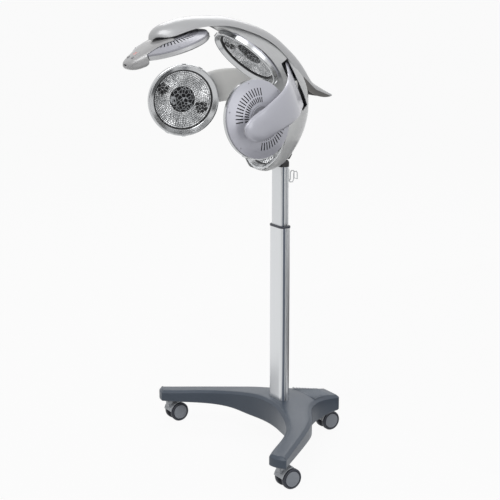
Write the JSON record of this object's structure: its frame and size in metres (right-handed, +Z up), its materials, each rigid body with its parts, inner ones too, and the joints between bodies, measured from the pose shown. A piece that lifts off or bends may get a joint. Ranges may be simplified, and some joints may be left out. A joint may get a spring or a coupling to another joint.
{
  "type": "hair color processor",
  "caption": "Rolling salon hair colour processor: curved tilting head with heater lamps on swinging arms, on a telescopic mast and wheeled base.",
  "frame": {"origin": "on the floor, on the axis of the mast", "axes": "+Z up along the mast, -Y towards the client's side where the lamps face, +X towards the client's left"},
  "size_m": [0.786, 0.7706, 1.3991],
  "materials": {
    "ballast_iron": "bare grey iron",
    "base_slate": "fine-textured slate blue-grey moulding",
    "board_green": "circuit board",
    "bracket_black": "black powder-coated casting",
    "button_dark": "soft dark grey",
    "cap_black": "matt black nylon",
    "caster_fork_grey": "silver-grey nylon",
    "caster_wheel": "navy tread with pale discs",
    "chrome_trim": "bright chrome plating",
    "collar_dark": "matt dark slate nylon",
    "crest_dark": "matt dark grey-brown liner",
    "display_smoke": "smoked red window",
    "emitter_black": "black ceramic emitter plate",
    "frame_steel": "black painted steel",
    "inlet_black": "black socket moulding",
    "lamp_back": "satin silver-lilac grey moulding",
    "mast_anodised": "satin anodised extrusion",
    "mast_lower": "satin anodised extrusion",
    "panel_silver": "satin silver-grey moulding",
    "reflector_silver": "faceted bright reflector",
    "shell_silver": "satin light silver-grey lacquer",
    "shell_white": "glossy pearl white moulding",
    "slider_nylon": "natural nylon",
    "steel_bright": "ground steel"
  },
  "bodies": {
    "base": {"base_cover": "base_slate", "base_frame": "frame_steel", "ballast_weight": "ballast_iron", "mast_socket": "frame_steel", "mast_outer_tube": "mast_lower", "mast_collar": "collar_dark", "gas_spring_rod": "steel_bright"},
    "mast": {"mast_inner_tube": "mast_anodised", "mast_slider": "slider_nylon", "gas_spring_cylinder": "frame_steel", "mast_cap": "cap_black", "tilt_bracket": "bracket_black", "accessory_hook": "chrome_trim"},
    "head": {"spine_rear_shell": "shell_white", "spine_front_cover": "shell_white", "spine_frame": "frame_steel", "crest_cover": "shell_silver", "crest_liner": "crest_dark", "tilt_axle": "steel_bright", "arm_pins": "steel_bright", "front_lamp_pin": "steel_bright", "power_inlet": "inlet_black", "top_lamp_housing": "lamp_back", "top_lamp_bezel": "chrome_trim", "top_lamp_reflector": "reflector_silver", "top_lamp_emitter": "emitter_black", "rear_lamp_housing": "lamp_back", "rear_lamp_bezel": "chrome_trim", "rear_lamp_reflector": "reflector_silver", "rear_lamp_emitter": "emitter_black"},
    "left_arm": {"left_arm_outer": "lamp_back", "left_arm_inner": "shell_white"},
    "right_arm": {"right_arm_outer": "lamp_back", "right_arm_inner": "shell_white"},
    "left_lamp": {"left_lamp_housing": "lamp_back", "left_lamp_bezel": "chrome_trim", "left_lamp_reflector": "reflector_silver", "left_lamp_emitter": "emitter_black"},
    "right_lamp": {"right_lamp_housing": "lamp_back", "right_lamp_bezel": "chrome_trim", "right_lamp_reflector": "reflector_silver", "right_lamp_emitter": "emitter_black"},
    "front_lamp": {"front_lamp_housing": "lamp_back", "front_lamp_bezel": "chrome_trim", "front_lamp_reflector": "reflector_silver", "front_lamp_emitter": "emitter_black", "front_panel_cover": "panel_silver", "display_window": "display_smoke", "control_board": "board_green"},
    "start_button": {"start_button": "button_dark"},
    "timer_button": {"timer_button": "button_dark"},
    "front_left_caster": {"front_left_caster_fork": "caster_fork_grey", "front_left_caster_axle": "steel_bright"},
    "front_left_wheels": {"front_left_caster_wheels": "caster_wheel"},
    "front_right_caster": {"front_right_caster_fork": "caster_fork_grey", "front_right_caster_axle": "steel_bright"},
    "front_right_wheels": {"front_right_caster_wheels": "caster_wheel"},
    "rear_caster": {"rear_caster_fork": "caster_fork_grey", "rear_caster_axle": "steel_bright"},
    "rear_wheels": {"rear_caster_wheels": "caster_wheel"}
  },
  "joints": [
    {"name": "mast_lift", "type": "slide", "parent": "base", "child": "mast", "axis": [0, 0, 1], "range_m": [-0.16, 0.25]},
    {"name": "head_tilt", "type": "hinge", "parent": "mast", "child": "head", "pos_m": [0, -0.002, 0.988], "axis": [1, 0, 0], "range_deg": [-10, 10]},
    {"name": "left_arm_swing", "type": "hinge", "parent": "head", "child": "left_arm", "pos_m": [0.042, 0.024, 1.184], "axis": [0, 0, 1], "range_deg": [-3, 14]},
    {"name": "right_arm_swing", "type": "hinge", "parent": "head", "child": "right_arm", "pos_m": [-0.042, 0.024, 1.184], "axis": [0, 0, 1], "range_deg": [-4, 13]},
    {"name": "left_lamp_tilt", "type": "hinge", "parent": "left_arm", "child": "left_lamp", "pos_m": [0.27121, -0.22954, 1.11617], "axis": [0.106, -0.9944, 0], "range_deg": [-8, 8]},
    {"name": "right_lamp_tilt", "type": "hinge", "parent": "right_arm", "child": "right_lamp", "pos_m": [-0.31176, -0.18589, 1.11617], "axis": [-0.2771, -0.9609, 0], "range_deg": [-8, 8]},
    {"name": "front_lamp_tilt", "type": "hinge", "parent": "head", "child": "front_lamp", "pos_m": [0, -0.40229, 1.3577], "axis": [1, 0, 0], "range_deg": [-3, 8]},
    {"name": "start_press", "type": "slide", "parent": "front_lamp", "child": "start_button", "axis": [0, 0.55, -0.8352], "range_m": [0, 0.0014], "stiffness_N_per_m": 600},
    {"name": "timer_press", "type": "slide", "parent": "front_lamp", "child": "timer_button", "axis": [0, 0.55, -0.8352], "range_m": [0, 0.0014], "stiffness_N_per_m": 600},
    {"name": "front_left_caster_swivel", "type": "hinge", "parent": "base", "child": "front_left_caster", "pos_m": [0.347, -0.22, 0.09], "axis": [0, 0, 1], "continuous": true},
    {"name": "front_left_wheel_spin", "type": "hinge", "parent": "front_left_caster", "child": "front_left_wheels", "pos_m": [0.347, -0.195, 0.0325], "axis": [1, 0, 0], "continuous": true},
    {"name": "front_right_caster_swivel", "type": "hinge", "parent": "base", "child": "front_right_caster", "pos_m": [-0.347, -0.22, 0.09], "axis": [0, 0, 1], "continuous": true},
    {"name": "front_right_wheel_spin", "type": "hinge", "parent": "front_right_caster", "child": "front_right_wheels", "pos_m": [-0.347, -0.195, 0.0325], "axis": [1, 0, 0], "continuous": true},
    {"name": "rear_caster_swivel", "type": "hinge", "parent": "base", "child": "rear_caster", "pos_m": [0, 0.171, 0.09], "axis": [0, 0, 1], "continuous": true},
    {"name": "rear_wheel_spin", "type": "hinge", "parent": "rear_caster", "child": "rear_wheels", "pos_m": [0, 0.196, 0.0325], "axis": [1, 0, 0], "continuous": true}
  ]
}
